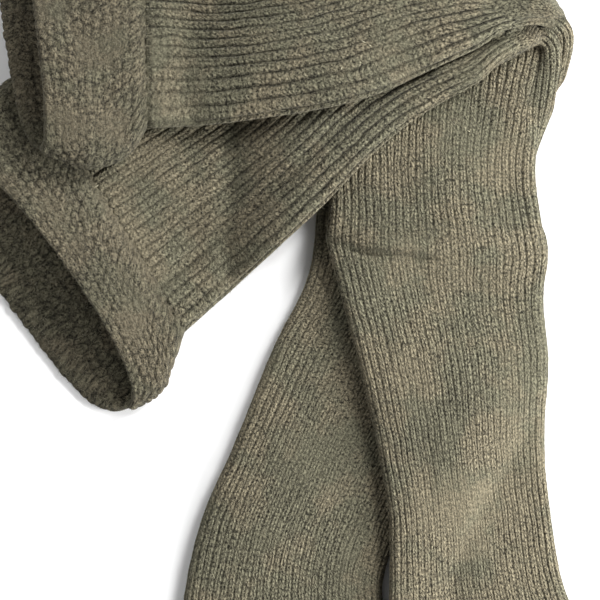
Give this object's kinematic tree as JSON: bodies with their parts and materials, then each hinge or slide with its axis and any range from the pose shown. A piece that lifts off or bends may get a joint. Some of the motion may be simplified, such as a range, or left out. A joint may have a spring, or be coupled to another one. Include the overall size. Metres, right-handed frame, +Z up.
{
  "type": "pair of over-the-knee socks, laid flat and folded over once",
  "caption": "Thick ribbed over-the-knee socks with turned-back cuffs, laid together on a surface and folded over once near the knee, with their mouths open.",
  "frame": {"origin": "on the surface the socks lie on, under the middle of the pair's box", "axes": "+Z up from the surface; the feet point towards -Y and the folded thighs and cuffs towards -X"},
  "size_m": [0.449, 0.626, 0.0439],
  "materials": {
    "ribbed_wool": "olive-grey heather wool in a one-by-one rib, slightly felted, with a matt nap",
    "cuff_wool": "the same wool in a coarser, bumpy knit with ridges along the mouth"
  },
  "bodies": {
    "root": {"outer_sock": "ribbed_wool", "outer_cuff": "cuff_wool", "inner_sock": "ribbed_wool", "inner_cuff": "cuff_wool"}
  },
  "joints": []
}
